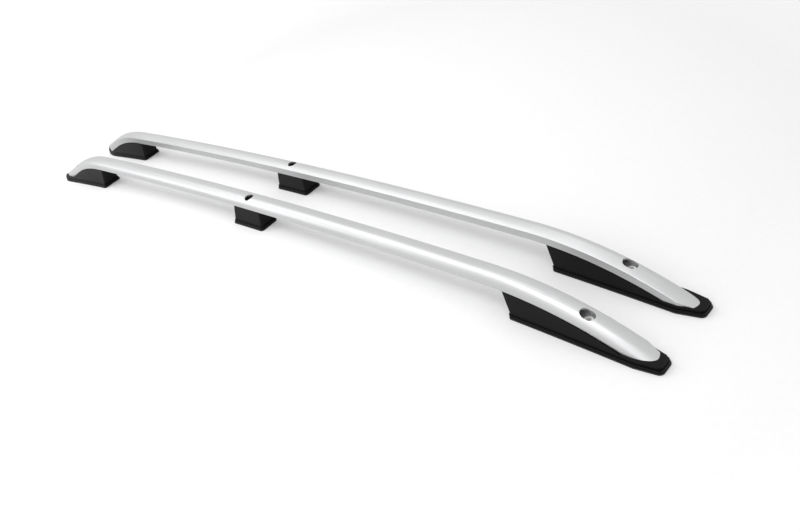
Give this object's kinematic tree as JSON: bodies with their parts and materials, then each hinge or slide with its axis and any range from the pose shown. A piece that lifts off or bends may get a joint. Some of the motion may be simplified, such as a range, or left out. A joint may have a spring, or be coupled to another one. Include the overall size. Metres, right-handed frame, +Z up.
{
  "type": "roof side rail pair",
  "caption": "Pair of low vehicle roof side rails: satin metal bars bent down at both ends on black moulded feet, with bolt bores for the roof.",
  "frame": {"origin": "centre of the pair in X and Y, at the height of the lowest points of the feet", "axes": "+X towards the vehicle's front, +Y towards its left side, +Z up; the right rail is at -Y and the left rail at +Y"},
  "size_m": [1.692, 0.176, 0.1023],
  "materials": {
    "bar": "satin",
    "foot": "satin",
    "gasket": "matte",
    "bush": "zinc plated",
    "screw": "zinc plated"
  },
  "bodies": {
    "root": {"right_bar": "bar", "right_rear_foot": "foot", "right_centre_foot": "foot", "right_front_foot": "foot", "right_rear_gasket": "gasket", "right_centre_gasket": "gasket", "right_front_gasket": "gasket", "right_rear_bush": "bush", "right_centre_bush": "bush", "right_front_bush": "bush", "right_foot_screws": "screw", "left_bar": "bar", "left_rear_foot": "foot", "left_centre_foot": "foot", "left_front_foot": "foot", "left_rear_gasket": "gasket", "left_centre_gasket": "gasket", "left_front_gasket": "gasket", "left_rear_bush": "bush", "left_centre_bush": "bush", "left_front_bush": "bush", "left_foot_screws": "screw"}
  },
  "joints": []
}
